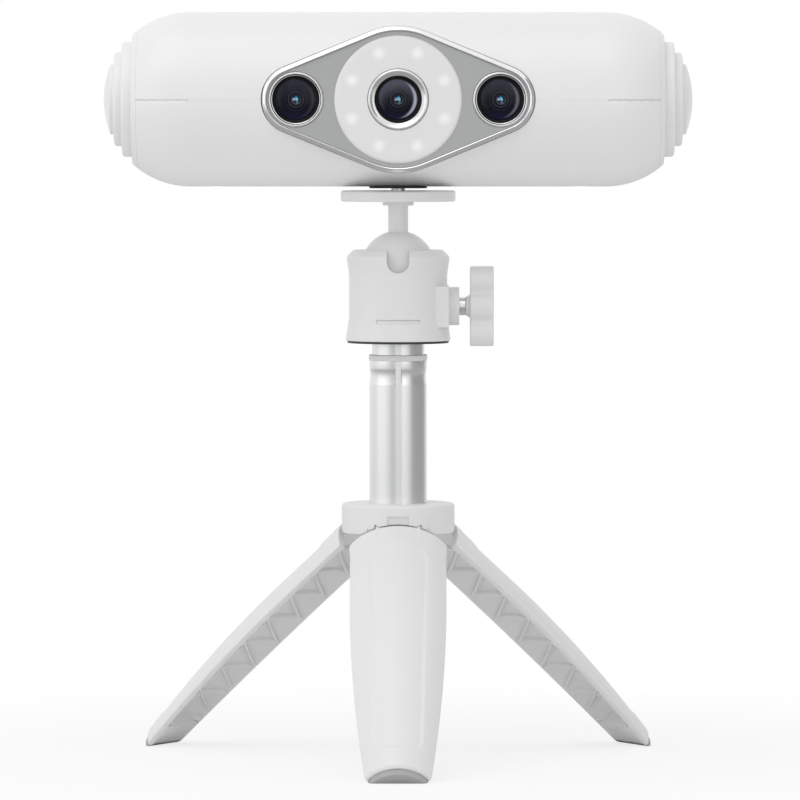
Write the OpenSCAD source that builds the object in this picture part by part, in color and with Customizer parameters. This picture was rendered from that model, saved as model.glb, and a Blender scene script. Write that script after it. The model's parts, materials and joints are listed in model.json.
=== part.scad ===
// Handheld scanner with a capsule body, on a mini tripod with a ball head.
// Millimetres. +Z is up, the lenses look along -Y, and the origin is on the floor under the column.

/* [Scanner body] */
// Diameter of the capsule
body_d = 47; // [44:0.5:52]
// Distance between the centres of the two round ends
body_span = 112; // [104:1:130]
// Wall of the shells
shell_wall = 2; // [1.6:0.1:2.6]
// Gap along the parting line
seam_gap = 0.2; // [0.1:0.05:0.4]
// Height of the tongue along the parting line
tongue_h = 1; // [0.6:0.1:1.5]
// Width of the ribs that hold the optical bench
rib_w = 2; // [1.5:0.1:3]

/* [End caps] */
// Distance from a round end's centre to the cap's seam
cap_seam = 14.2; // [13:0.1:15]
// Distance from a round end's centre to the cap's flat shoulder
cap_shoulder = 15.6; // [15.2:0.1:16.5]
// Distance of the first step inside the capsule's radius
step_a_in = 8; // [7.5:0.1:9]
// Height of the first step
step_a_h = 2.8; // [2:0.1:3.5]
// Distance of the second step inside the capsule's radius
step_b_in = 10.9; // [10:0.1:12]
// Height of the second step
step_b_h = 2.2; // [1.6:0.1:3]
// Distance of the third step inside the capsule's radius
step_c_in = 14.05; // [13:0.05:15.5]
// Height of the third step up to its dome
step_c_h = 1; // [0.6:0.1:1.6]
// Rise of the dome on the third step
cap_dome = 1.8; // [1.2:0.1:2.6]
// Rounding of the steps' edges
step_round = 0.8; // [0.4:0.1:1]
// Length of the spigot inside the shells
cap_spigot = 4; // [3:0.5:6]

/* [Face] */
// Radius of the face's middle
face_r = 19.6; // [18.8:0.1:20.4]
// Radius of the face's ends
face_end_r = 9.2; // [8.8:0.1:10]
// Distance of the outer lenses from the middle one
lens_pitch = 27.3; // [26:0.1:30]
// Distance that the rim stands in front of the capsule
rim_proud = 0.5; // [0.2:0.1:1.5]
// Width of the bevelled rim
rim_w = 1.3; // [1:0.1:1.6]
// Bevel on the rim's front edge
rim_bevel = 0.8; // [0.4:0.1:0.9]
// Depth of the face plate below the rim
face_sink = 0.5; // [0.3:0.1:1]
// Thickness of the face plate
face_t = 1.8; // [1.2:0.1:2.4]
// Depth of the rim's side wall, from its front to the optical bench
frame_depth = 16; // [14:0.5:17]

/* [Light ring] */
// Radius of the white diffuser
diffuser_r = 17.4; // [16.6:0.1:17.6]
// Thickness of the diffuser's disc
diffuser_t = 1.8; // [1.4:0.1:2.2]
// Distance that the diffuser stands in front of the face plate
diffuser_proud = 0.6; // [0.3:0.1:1]
// Rounding of the diffuser's edge
diffuser_round = 0.6; // [0.3:0.1:0.8]
// Radius of the circle of lights
led_circle_r = 13.2; // [12.4:0.1:13.6]
// Number of lights
led_count = 8; // [6:1:12]
// Side of one light
led_side = 2.8; // [2:0.1:3.2]
// Height of one light
led_h = 0.8; // [0.5:0.1:1]
// Thickness of the circuit boards
board_t = 1.2; // [0.8:0.1:1.6]

/* [Lenses] */
// Radius of a lens barrel
barrel_r = 6.35; // [6:0.05:6.6]
// Wall of a lens barrel
barrel_wall = 0.75; // [0.6:0.05:1]
// Radius of the middle lens ring
ring_centre_r = 8.1; // [7.6:0.1:8.4]
// Radius of the outer lens rings
ring_side_r = 7.4; // [7:0.1:7.7]
// Distance that a lens ring stands in front of its seat
ring_proud = 0.3; // [0.1:0.1:0.6]
// Depth of the funnel inside a lens ring
ring_funnel = 0.9; // [0.5:0.1:1.2]
// Depth of a lens ring
ring_depth = 2.2; // [1.6:0.1:3]
// Radius of curvature of the front glass
glass_curve_r = 11; // [9:0.5:20]
// Depth of the front glass behind the barrel's edge
glass_sink = 0.5; // [0.3:0.1:1]
// Thickness of the front glass at its edge
glass_edge = 1.2; // [0.8:0.1:2]
// Distance from the barrel's front to its stop
stop_depth = 5; // [4.6:0.1:6]
// Thickness of the stop
stop_t = 0.8; // [0.5:0.1:1.2]
// Radius of the hole in the stop
pupil_r = 2; // [1.5:0.1:2.4]
// Radius of the rear glass
rear_r = 3.2; // [2.8:0.1:3.8]
// Thickness of the rear glass
rear_t = 2.4; // [1.6:0.1:3]

/* [Scanner inside] */
// Thickness of the optical bench
bench_t = 2.5; // [2:0.1:3]
// Half length of the optical bench
bench_x = 43.5; // [42:0.5:46]
// Half height of the optical bench's ends
bench_z = 7.5; // [6:0.5:8]
// Width of a sensor board
sensor_w = 15; // [12:0.5:16]
// Height of a sensor board
sensor_h = 12; // [10:0.5:13]
// Side of the sensor chip
chip_side = 4.4; // [3:0.1:4.8]
// Width and height of the projector
projector_w = 15; // [12:0.5:17]
// Depth of the projector
projector_depth = 12; // [8:0.5:15]
// Distance from the back of the capsule to the main board
board_in = 9.8; // [9:0.1:11]
// Length of the main board
board_w = 84; // [80:1:86]
// Height of the main board
board_h = 24; // [20:1:26]
// Distance of the standoffs from the middle
standoff_x = 38.5; // [37:0.5:40]
// Height of the standoffs above and below the axis
standoff_z = 4.5; // [3:0.5:5]
// Radius of a standoff
standoff_r = 2.2; // [1.6:0.1:2.5]
// Distance of the bench screws from the middle
bench_screw_x = 22; // [21.5:0.1:22.5]
// Height of the bench screws above and below the axis
bench_screw_z = 9; // [8.8:0.1:9.2]
// Radius of the rim's screw bosses
boss_r = 2.2; // [1.9:0.1:2.3]
// Radius of a bench screw
bench_screw_r = 1; // [0.8:0.1:1.1]
// Length of a bench screw in the rim
bench_screw_len = 6; // [4:0.5:8]
// Distance of the shell screws from the middle
shell_screw_x = 49; // [48.5:0.5:51]
// Distance of the rear shell screws from the axis
shell_screw_y = 9; // [8:0.5:10]
// Radius of a shell screw's shank
shell_screw_r = 1.25; // [1:0.05:1.4]
// Radius of a shell screw's head
shell_head_r = 2.3; // [2:0.1:2.5]
// Radius of the shell screws' posts
post_r = 3.4; // [3.2:0.1:3.8]

/* [Back controls] */
// Distance of the socket and the button from the middle
control_x = 22; // [18:0.5:26]
// Width of the USB socket
usb_w = 9; // [8.9:0.1:9.4]
// Height of the USB socket
usb_h = 3.3; // [3.1:0.1:3.6]
// Wall of the USB socket
usb_wall = 0.4; // [0.3:0.05:0.5]
// Radius of the button
button_r = 5; // [4:0.1:6]
// Distance that the button stands behind the capsule
button_proud = 0.8; // [0.4:0.1:1.2]
// Travel of the button
button_travel = 0.6; // [0.4:0.1:0.8]
// Height of the switch under the button
switch_h = 3; // [2:0.1:3.4]
// Side of the switch
switch_side = 6; // [5:0.5:7]

/* [Scanner mount] */
// Radius of the camera screw
stud_r = 3.1; // [3:0.05:3.2]
// Length of the camera screw above its plate
stud_len = 6; // [5:0.5:7]
// Radius of the neck under the screw's thread
stud_neck_r = 1.9; // [1.7:0.1:2.4]
// Half length of the black pad
pad_x = 7.8; // [7.6:0.1:9]
// Half width of the black pad
pad_y = 4.2; // [4:0.1:5]
// Distance that the pad stands below the capsule
pad_proud = 0.45; // [0.3:0.05:0.8]
// Gap between the pad and the mounting plate
pad_gap = 0.65; // [0.3:0.05:0.8]
// Radius of the threaded nut
nut_r = 5.5; // [5:0.1:6]
// Height of the threaded nut
nut_h = 6; // [5:0.5:7]
// Wall of the nut's seat
nut_wall = 1.6; // [1.2:0.1:2]

/* [Ball head] */
// Radius of the mounting plate
plate_r = 15.5; // [14:0.1:17]
// Thickness of the mounting plate
plate_t = 2.9; // [2:0.1:4]
// Radius of the ball
ball_r = 10; // [9.4:0.1:10.4]
// Height of the plate above the ball's centre
stem_len = 17.9; // [16.5:0.1:20]
// Radius of the stem
stem_r = 2.7; // [2.4:0.05:2.8]
// Radius of the flange under the plate
flange_r = 4.2; // [3.8:0.1:5]
// Thickness of the flange under the plate
flange_t = 1.1; // [0.8:0.1:1.6]
// Height of the housing
housing_h = 24.5; // [23:0.1:27]
// Height of the ball's centre above the housing's base
ball_up = 19.7; // [19:0.1:20.5]
// Radius of the housing at its base
housing_base_r = 14.1; // [13.6:0.1:15]
// Radius of the housing at its waist
housing_waist_r = 13.25; // [12.8:0.05:13.6]
// Radius of the housing under its top chamfer
housing_top_r = 13.85; // [13.4:0.05:14.5]
// Chamfer on the housing's top edge
housing_chamfer = 1.8; // [1:0.1:2.2]
// Thickness of the housing's floor
housing_floor = 3.2; // [2.5:0.1:3.6]
// Radius of the cup under the ball
cup_r = 8.4; // [7.8:0.1:8.8]
// Height of the cup's rim below the ball's centre
cup_drop = 6.4; // [5.8:0.1:7]
// Half width of the shallow groove on the housing's front
mark_half = 5.9; // [5:0.1:7]
// Height of the shallow groove
mark_h = 1; // [0.6:0.1:1.4]
// Depth of the shallow groove
mark_depth = 0.15; // [0.1:0.05:0.25]
// Height of the shallow groove above the housing's base
mark_up = 4.8; // [4.2:0.1:5.4]
// Width of the notch for the stem
notch_w = 5.9; // [5.8:0.1:6.4]
// Height of the notch's bottom below the ball's centre
notch_drop = 1.25; // [0.8:0.05:2]
// Thickness of the dark washer under the housing
washer_t = 0.6; // [0.4:0.1:1]
// Radius of the dark washer
washer_r = 13.7; // [13:0.1:14]

/* [Clamp knob] */
// Height of the knob's axis above the housing's base
knob_up = 9.3; // [9:0.1:9.8]
// Radius of the housing's boss
knob_boss_r = 5.15; // [4.6:0.05:5.5]
// Distance of the boss's end from the column's axis
knob_boss_x = 16.5; // [15.5:0.1:18]
// Distance of the boss's flat landing from the column's axis
landing_x = 13.7; // [13.5:0.1:14]
// Half width of the boss's flat landing
landing_y = 8.6; // [7.5:0.1:9.2]
// Radius of the clamp screw
clamp_r = 2.45; // [2.2:0.05:2.7]
// Distance of the knob's inner end from the boss
knob_gap = 1.6; // [1:0.1:2.5]
// Height of the cone on the knob's inner end
knob_cone = 1.3; // [0.8:0.1:1.8]
// Thickness of the knob's wings
wing_t = 6.4; // [5:0.1:7.5]
// Length across the wings
wing_len = 21.6; // [18:0.1:24]
// Width of a wing's round tip
wing_tip = 7.4; // [6:0.1:9]
// Width of the wings at the waist
wing_waist = 5.4; // [4.5:0.1:6]
// Radius of the knob's middle
knob_hub_r = 4.4; // [3.8:0.1:5]

/* [Column] */
// Radius of the outer tube
tube_r = 7.75; // [7.4:0.05:8]
// Wall of the outer tube
tube_wall = 0.6; // [0.5:0.05:0.7]
// Length of the outer tube above the hub
tube_show = 38.6; // [34:0.1:50]
// Length of the outer tube below the hub
tube_tail = 2.4; // [1.5:0.1:4]
// Wall of the inner tube
inner_wall = 0.9; // [0.7:0.05:1.2]
// Length of the inner tube that shows
inner_show = 3.2; // [3.1:0.1:6]
// Width of the groove along the tubes
groove_w = 1.6; // [1:0.1:2]
// Depth of the groove along the tubes
groove_depth = 0.3; // [0.2:0.05:0.35]
// Distance of the pinched band from the outer tube's top
pinch_drop = 2; // [1:0.1:4]
// Height of the pinched band
pinch_h = 4.6; // [3:0.1:6]
// Depth of the pinched band
pinch_depth = 0.25; // [0.1:0.05:0.3]
// Height of the white ring on the outer tube
tube_ring_h = 1.5; // [1:0.1:2.5]
// Distance that the white ring stands out from the outer tube
tube_ring_proud = 0.15; // [0.05:0.05:0.4]
// Height of the bush on the inner tube's lower end
bush_h = 5; // [4:0.5:8]
// Depth of the plug in the inner tube's upper end
plug_depth = 7; // [5:0.5:9]
// Length of the plug's screw in the housing
plug_screw = 3; // [2.2:0.1:3.1]

/* [Hub] */
// Radius of the hub and of the closed legs
grip_r = 15.25; // [14.8:0.05:16]
// Height of the hub
hub_h = 8; // [7.5:0.05:10]
// Distance of the hub's bottom below the hinges
hub_drop = 1.2; // [1:0.05:1.4]
// Rounding of the hub's top edge
hub_round = 0.9; // [0.5:0.1:1.5]
// Radius of the hub's core between the hinges
core_r = 9.6; // [9.2:0.1:9.8]
// Width of the notch above each leg
hub_notch_w = 5.7; // [4:0.1:7]
// Height of the notch above each leg
hub_notch_h = 2.4; // [1.6:0.1:3]
// Depth of the notch above each leg
hub_notch_depth = 0.8; // [0.5:0.1:1.2]
// Height of the notch's middle above the hinges
hub_notch_up = 2.6; // [2.5:0.1:3]

/* [Hinges] */
// Distance of the hinges from the column's axis
hinge_r = 12.2; // [12:0.05:12.4]
// Radius of a hinge pin
pin_r = 0.7; // [0.6:0.05:0.8]
// Radius of a leg's knuckles around the pins
knuckle_r = 2; // [1.8:0.05:2.2]
// Radius of the hub's lugs around the pins
lug_r = 1.4; // [1.3:0.05:1.45]
// Width of a lug
lug_w = 2.2; // [1.8:0.1:2.3]
// Half width of the leg's middle knuckle
knuckle_half = 2.2; // [1.8:0.1:2.3]
// Half length of a leg's hinge end
hinge_half = 6; // [5.6:0.1:6.4]

/* [Legs] */
// Angle of the open legs from the vertical
leg_open = 50; // [45:0.5:52]
// Length of a leg from its hinge to its sole
leg_len = 89; // [75:0.1:110]
// Half angle of a leg's round section
leg_half_angle = 59; // [57:0.5:59.4]
// Wall of a leg
leg_wall = 1.85; // [1.4:0.05:2.2]
// Radius of the closed legs' end
leg_end_r = 10; // [9.5:0.1:12]
// Distance from the hinge to a leg's upper edge
leg_top = 1.5; // [1.4:0.05:2]
// Length of a leg before it starts to narrow
leg_straight = 22; // [15:1:35]
// Thickness of the crossing ribs
lattice_t = 1; // [0.7:0.1:1.4]
// Height of the crossing ribs
lattice_h = 0.9; // [0.6:0.1:1.5]
// Number of crossings in a leg
lattice_count = 7; // [5:1:9]
// Distance from the hinge to the first ribs
lattice_start = 6; // [6:0.5:8]
// Length of the solid end of a leg
toe_len = 8; // [6:0.5:12]
// Depth of a leg's solid end inside its round
toe_depth = 5.1; // [5:0.1:5.4]
// Thickness of a sole
sole_t = 1.8; // [1.2:0.1:3]
// Distance that a sole is set in from the leg's edge
sole_in = 0.9; // [0.5:0.1:1.2]
// Depth of the sole's flat where it meets the floor
sole_flat = 0.7; // [0.5:0.05:1]
// Depth of the grip panel on a leg
panel_depth = 0.5; // [0.3:0.05:0.8]
// Half width of the grip panel's upper end
panel_top_w = 7.6; // [6:0.1:9]
// Half width of the grip panel's lower end
panel_end_w = 5.2; // [4:0.1:6]
// Distance from the hinge to the grip panel
panel_start = 4.4; // [4:0.1:10]
// Distance from the grip panel to the sole
panel_end = 10; // [8:0.1:14]
// Corner radius of the grip panel
panel_round = 3; // [2:0.1:4]

/* [Clearances] */
// Clearance of pieces that turn or slide in each other
run_fit = 0.05; // [0.03:0.01:0.1]
// Clearance of pieces that are fastened in each other
seat_fit = 0.03; // [0.02:0.01:0.08]
// Clearance between moving pieces that pass each other
pass_gap = 0.3; // [0.25:0.05:0.4]
// Clearance of the rim in the shells
frame_fit = 0.15; // [0.1:0.05:0.3]

/* [Hidden] */
$fn = 96;
far = 60;
skin = 0.01;
corner_steps = 8;
face_steps = 24;
body_r = body_d / 2;
shell_in_r = body_r - shell_wall;
shell_end = body_span / 2 + cap_seam;
spigot_r = sqrt(pow(shell_in_r, 2) - pow(cap_seam, 2)) - seat_fit;

// Heights, stacked from the floor up
sole_r = leg_end_r - toe_depth;
hinge_z = leg_len * cos(leg_open) + (hinge_r - sole_r) * sin(leg_open) - sole_flat;
hub_bottom = hinge_z - hub_drop;
hub_top = hub_bottom + hub_h;
tube_top = hub_top + tube_show;
tube_bottom = hinge_z - tube_tail;
ring_top = tube_top + tube_ring_h;
head_z = ring_top + inner_show;
housing_z = head_z + washer_t;
ball_z = housing_z + ball_up;
plate_z = ball_z + stem_len;
plate_top = plate_z + plate_t;
pad_z = plate_top + pad_gap;
axis_z = pad_z + pad_proud + body_r;
knob_z = housing_z + knob_up;

// Depths of the front, counted along -Y from the scanner's axis
rim_front = body_r + rim_proud;
face_front = rim_front - face_sink;
face_back = face_front - face_t;
diffuser_front = face_front + diffuser_proud;
diffuser_back = diffuser_front - diffuser_t;
bench_front = rim_front - frame_depth;
bench_back = bench_front - bench_t;
barrel_front = face_front + ring_proud - ring_funnel / 2;
led_front = diffuser_back - led_h - 1;
led_back = led_front - board_t;
board_rear = board_in - body_r;
board_front = board_rear + board_t;
skirt_r = diffuser_r - 1.5;
step_a_r = body_r - step_a_in;
step_b_r = body_r - step_b_in;
step_c_r = body_r - step_c_in;
tangent = asin((face_r - face_end_r) / lens_pitch);

// Scanner mount
pad_seat = axis_z - sqrt(pow(body_r, 2) - pow(pad_y, 2)) + pass_gap;
nut_z = axis_z - shell_in_r;
button_flange_r = button_r + 1.2;
button_inner = shell_in_r - 1.3;
button_flange_t = 1;

// Column and hinge values that several pieces share
tube_in_r = tube_r - tube_wall;
inner_r = tube_in_r - run_fit;
inner_in_r = inner_r - inner_wall;
bush_z = tube_bottom + 3;
inner_bottom = bush_z + bush_h;
slot_r = lug_r + pass_gap;
pocket_r = knuckle_r + pass_gap;
lug_x = knuckle_half + pass_gap;
socket_r = ball_r + run_fit;
knob_x = knob_boss_x + knob_gap;
wing_x = knob_x + knob_cone;
pinch_r = (pow(pinch_h / 2, 2) + pow(pinch_depth, 2)) / (2 * pinch_depth);
clamp_start = sqrt(pow(ball_r, 2) - pow(ball_up - knob_up - clamp_r - pass_gap, 2));
leg_in_r = grip_r - leg_wall;
leg_wide = grip_r * sin(leg_half_angle);
leg_drop = grip_r - leg_end_r;
sole_z = leg_len - sole_t;
toe_z = sole_z - toe_len;
taper_len = leg_len - leg_straight;
taper_r = (pow(taper_len, 2) + pow(leg_drop, 2)) / (2 * leg_drop);
lattice_pitch = (toe_z - lattice_start) / lattice_count;
lattice_angle = atan(lattice_pitch / leg_wide);

white = "#ececed";
silver = "#b4b6b8";
bright = "#d8dadc";
dark = "#2a2b2d";
green = "#2f6b45";

// Extrudes an outline forwards from one depth in front of the scanner's axis to another
module forward(from, to)
  translate([0, -from, axis_z]) rotate([90, 0, 0]) linear_extrude(to - from) children();

// Turns a profile of radius and depth about a line that looks forwards at x
module lathe_forward(x)
  translate([x, 0, axis_z]) rotate([90, 0, 0]) rotate_extrude() children();

// Turns a profile of radius and distance about the scanner's long axis
module lathe_along() translate([0, 0, axis_z]) rotate([0, 90, 0]) rotate_extrude() children();

// Rectangle between two corners with its outer corners rounded
module rounded(x0, y0, x1, y1, r) {
  translate([x0, y0 + r]) square([x1 - x0, y1 - y0 - 2 * r]);
  translate([x0, y0]) square([x1 - x0 - r, y1 - y0]);
  for (y = [y0 + r, y1 - r]) translate([x1 - r, y]) circle(r);
}

// Points of an arc about a centre at x, between two angles
function arc(x, r, from, to) = [for (i = [0 : face_steps]) let (t = from + (to - from) * i / face_steps)
  [x + r * cos(t), r * sin(t)]];

// Block of the face's outline between two depths: three rounds and their common tangents
module face_block(from, to, grow) {
  r = face_r + grow;
  e = face_end_r + grow;
  t = 90 - tangent;
  forward(from, to) polygon(concat(arc(lens_pitch, e, -t, t), arc(0, r, t, 180 - t),
    arc(-lens_pitch, e, 180 - t, 180 + t), arc(0, r, 180 + t, 360 - t)));
}

// Half profile of a capsule of the scanner's axis
module capsule_profile(r) intersection() {
  union() {
    translate([0, -body_span / 2]) square([r, body_span]);
    for (y = [-body_span / 2, body_span / 2]) translate([0, y]) circle(r);
  }
  translate([0, -shell_end]) square([r, 2 * shell_end]);
}

// Height of a shell screw's seat at a distance from the axis
function screw_seat(y) = axis_z - sqrt(pow(body_r, 2) - pow(y + post_r, 2)) + shell_wall;

// Places a child at the four shell screws
module at_shell_screws() for (x = [-shell_screw_x, shell_screw_x], y = [0, shell_screw_y]) translate([x, y, 0]) {
  $seat = screw_seat(y);
  children();
}

// Plain column at each shell screw
module shell_posts(r, z0, z1) at_shell_screws() translate([0, 0, z0]) cylinder(r = r, h = z1 - z0);

// Tongue along the parting line, thinner than half the wall by fit
module tongue(fit) intersection() {
  lathe_along() difference() {
    capsule_profile(body_r - shell_wall / 2 - fit);
    capsule_profile(shell_in_r);
  }
  translate([-2 * far, -far, axis_z - tongue_h]) cube([4 * far, 2 * far, 2 * tongue_h - fit]);
}

// Walls and inner ribs of the capsule, still whole
module capsule_shell() difference() {
  union() {
    lathe_along() difference() {
      capsule_profile(body_r);
      capsule_profile_inside();
    }
    intersection() {
      lathe_along() capsule_profile(body_r - shell_wall / 2);
      union() {
        shell_posts(post_r, axis_z - body_r, axis_z + body_r);
        for (x = [-bench_x - rib_w / 2, bench_x - rib_w / 2])
          translate([x, -bench_front - bench_t, axis_z - body_r]) cube([rib_w, 3 * bench_t, body_d]);
      }
    }
  }
  shell_cuts();
}

// Openings of the shells for the face, the bench, the button and the socket
module shell_cuts() {
  face_block(bench_front, far, frame_fit);
  bench_room();
  lathe_back(control_x) translate([0, board_front]) square([button_r + pass_gap, far]);
  lathe_back(control_x) translate([0, button_inner - button_flange_t - pass_gap - button_travel])
    square([button_flange_r + pass_gap, button_flange_t + pass_gap + button_travel]);
  translate([-control_x, 0, axis_z]) rotate([-90, 0, 0]) linear_extrude(far) usb_outline(frame_fit);
}

// Hollow of the capsule
module capsule_profile_inside() intersection() {
  capsule_profile(shell_in_r);
  translate([0, -shell_end]) square([shell_in_r, 2 * shell_end]);
}

// Room that the optical bench's ends take in the shells
module bench_room() translate([-bench_x - seat_fit, -bench_front - seat_fit, axis_z - bench_z - seat_fit])
  cube([2 * (bench_x + seat_fit), bench_t + 2 * seat_fit, 2 * (bench_z + seat_fit)]);

// Turns a profile of radius and depth about a line that looks backwards at x
module lathe_back(x) translate([x, 0, axis_z]) rotate([-90, 0, 0]) rotate_extrude() children();

// Outline of the USB socket with round ends
module usb_outline(grow) {
  r = usb_h / 2 + grow;
  for (x = [-1, 1]) translate([x * (usb_w - usb_h) / 2, 0]) circle(r);
  translate([-(usb_w - usb_h) / 2, -r]) square([usb_w - usb_h, 2 * r]);
}

// Half space above or below the parting line
module half(up) translate([-far * 2, -far, up ? axis_z + seam_gap / 2 : axis_z - seam_gap / 2 - far])
  cube([far * 4, far * 2, far]);

module upper_shell() color(white) difference() {
  union() {
    intersection() {
      capsule_shell();
      half(true);
    }
    shell_posts(post_r, axis_z, axis_z + shell_wall);
  }
  tongue(0);
  shell_posts(shell_screw_r + seat_fit, axis_z - far, axis_z + shell_wall * 3);
}

module lower_shell() color(white) difference() {
  union() {
    intersection() {
      capsule_shell();
      half(false);
    }
    difference() {
      tongue(seat_fit);
      shell_cuts();
    }
    shell_posts(post_r, axis_z - shell_wall, axis_z);
    intersection() {
      lathe_along() capsule_profile(body_r - shell_wall / 2);
      translate([0, 0, axis_z - body_r]) cylinder(r = nut_r + nut_wall, h = nut_z + nut_h - axis_z + body_r);
    }
  }
  translate([0, 0, axis_z - far]) linear_extrude(pad_seat - axis_z + far) pad_outline(seat_fit);
  translate([0, 0, axis_z - far]) cylinder(r = stud_r + pass_gap, h = far);
  translate([0, 0, nut_z]) cylinder(r = nut_r + seat_fit, h = far / 2);
  shell_posts(shell_screw_r + seat_fit, axis_z - far, axis_z + far);
  at_shell_screws() translate([0, 0, $seat - far]) cylinder(r = shell_head_r + run_fit, h = far);
}

module shell_screws() color(silver) at_shell_screws() {
  translate([0, 0, $seat - shell_wall]) cylinder(r = shell_head_r, h = shell_wall);
  translate([0, 0, $seat]) cylinder(r = shell_screw_r, h = axis_z + shell_wall * 2 - $seat);
}

// Outline of the black pad with round ends
module pad_outline(grow) polygon(concat(arc(pad_x - pad_y, pad_y + grow, -90, 90),
  arc(pad_y - pad_x, pad_y + grow, 90, 270)));

// Half profile of a stepped end, as radius and distance from a round end's centre
module end_profile() {
  a_top = cap_shoulder + step_a_h;
  b_top = a_top + step_b_h;
  c_top = b_top + step_c_h;
  dome_r = (pow(step_c_r, 2) + pow(cap_dome, 2)) / (2 * cap_dome);
  intersection() {
    circle(body_r);
    translate([0, cap_seam]) square([body_r, cap_shoulder - cap_seam]);
  }
  translate([0, cap_seam]) rounded(0, 0, step_a_r, a_top - cap_seam, step_round);
  translate([0, cap_seam]) rounded(0, 0, step_b_r, b_top - cap_seam, step_round);
  translate([0, cap_seam]) square([step_c_r, c_top - cap_seam]);
  intersection() {
    translate([0, c_top + cap_dome - dome_r]) circle(dome_r);
    translate([0, cap_seam]) square([step_c_r, c_top + cap_dome - cap_seam]);
  }
  translate([0, cap_seam - cap_spigot]) square([spigot_r, cap_spigot]);
}

// One end cap, on the side of sign
module end_cap(sign) color(white)
  translate([sign * body_span / 2, 0, axis_z]) rotate([0, sign * 90, 0]) rotate_extrude() difference() {
    end_profile();
    translate([0, cap_seam - cap_spigot]) square([spigot_r - shell_wall, cap_spigot + step_a_h]);
  }

module end_cap_left() end_cap(-1);
module end_cap_right() end_cap(1);

// Places a child at the four bench screws
module at_bench_screws() for (x = [-bench_screw_x, bench_screw_x], z = [-bench_screw_z, bench_screw_z])
  translate([x, z]) children();

module trim_frame() color(bright) difference() {
  union() {
    difference() {
      union() {
        face_block(bench_front, rim_front - rim_bevel, 0);
        hull() {
          face_block(rim_front - rim_bevel - skin, rim_front - rim_bevel, 0);
          face_block(rim_front - skin, rim_front, -rim_bevel);
        }
      }
      face_block(bench_front - 1, rim_front + 1, -rim_w);
    }
    intersection() {
      forward(bench_front, face_back) at_bench_screws() circle(boss_r);
      face_block(bench_front, face_back, 0);
    }
  }
  forward(bench_front - 1, face_back - 1) at_bench_screws() circle(bench_screw_r + seat_fit);
}

module face_plate() color(silver) difference() {
  face_block(face_back, face_front, -rim_w - seat_fit);
  forward(face_back - 1, face_front + 1) circle(diffuser_r + seat_fit);
  for (x = [-lens_pitch, lens_pitch])
    forward(face_back - 1, face_front + 1) translate([x, 0]) circle(ring_side_r + seat_fit);
}

module light_diffuser() color("#f6f6f4") lathe_forward(0) difference() {
  union() {
    rounded(0, diffuser_back, diffuser_r, diffuser_front, diffuser_round);
    translate([skirt_r, led_front]) square([diffuser_r - skirt_r, diffuser_back - led_front + 1]);
  }
  translate([0, 0]) square([ring_centre_r + seat_fit, far]);
}

module led_board() color(green) forward(led_back, led_front) difference() {
  circle(diffuser_r);
  circle(barrel_r + pass_gap);
}

module leds() color("#fff6dc") for (i = [0 : led_count - 1]) forward(led_front, led_front + led_h)
  rotate((i + 0.5) * 360 / led_count) translate([led_circle_r, 0]) square(led_side, center = true);

// Funnel ring round a lens, at depth front
module lens_ring(x, r, front) color(bright) lathe_forward(x) polygon([[barrel_r + seat_fit, front - ring_depth],
  [r, front - ring_depth], [r, front - ring_proud], [r - ring_proud, front],
  [r - 2 * ring_proud, front], [barrel_r + seat_fit, front - ring_funnel]]);

module lens_ring_left() lens_ring(-lens_pitch, ring_side_r, face_front + ring_proud);
module lens_ring_centre() lens_ring(0, ring_centre_r, diffuser_front + ring_proud);
module lens_ring_right() lens_ring(lens_pitch, ring_side_r, face_front + ring_proud);

// Barrel of a lens, from the bench to depth front, with its stop
module lens_barrel(x, front) color(dark) lathe_forward(x) difference() {
  translate([0, bench_front]) square([barrel_r, front - bench_front]);
  translate([0, front - stop_depth]) square([barrel_r - barrel_wall, far]);
  translate([0, bench_front - 1]) square([pupil_r, far]);
  translate([0, bench_front - 1]) square([rear_r + seat_fit, front - stop_depth - stop_t - bench_front + 1]);
}

module lens_barrel_left() lens_barrel(-lens_pitch, barrel_front);
module lens_barrel_centre() lens_barrel(0, barrel_front + diffuser_proud);
module lens_barrel_right() lens_barrel(lens_pitch, barrel_front);

// Front glass of a lens, domed forwards, behind a barrel's front
module lens_glass(x, front) color("#1c2740") lathe_forward(x) {
  r = barrel_r - barrel_wall - seat_fit;
  rise = glass_curve_r - sqrt(pow(glass_curve_r, 2) - pow(r, 2));
  top = front - glass_sink;
  intersection() {
    translate([0, top - rise - glass_edge]) square([r, rise + glass_edge]);
    translate([0, top - glass_curve_r]) circle(glass_curve_r);
  }
}

module lens_left() lens_glass(-lens_pitch, barrel_front);
module lens_centre() lens_glass(0, barrel_front + diffuser_proud);
module lens_right() lens_glass(lens_pitch, barrel_front);

// Rear glass of a lens, seated behind the stop
module rear_glass(x, front) color("#27406a") lathe_forward(x)
  translate([0, front - stop_depth - stop_t - rear_t]) square([rear_r, rear_t]);

module rear_lens_left() rear_glass(-lens_pitch, barrel_front);
module rear_lens_centre() rear_glass(0, barrel_front + diffuser_proud);
module rear_lens_right() rear_glass(lens_pitch, barrel_front);

module optical_bench() color(silver) difference() {
  union() {
    face_block(bench_back, bench_front, 0);
    forward(bench_back, bench_front) square([2 * bench_x, 2 * bench_z], center = true);
    forward(bench_front, led_back) difference() {
      circle(skirt_r);
      circle(barrel_r + seat_fit);
    }
  }
  forward(bench_back - 1, bench_front + 1) {
    for (x = [-lens_pitch, 0, lens_pitch]) translate([x, 0]) circle(rear_r);
    at_bench_screws() circle(bench_screw_r + seat_fit);
  }
  translate([0, 0, axis_z - far]) cylinder(r = nut_r + nut_wall + pass_gap, h = nut_z + nut_h + pass_gap - axis_z + far);
}

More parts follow.
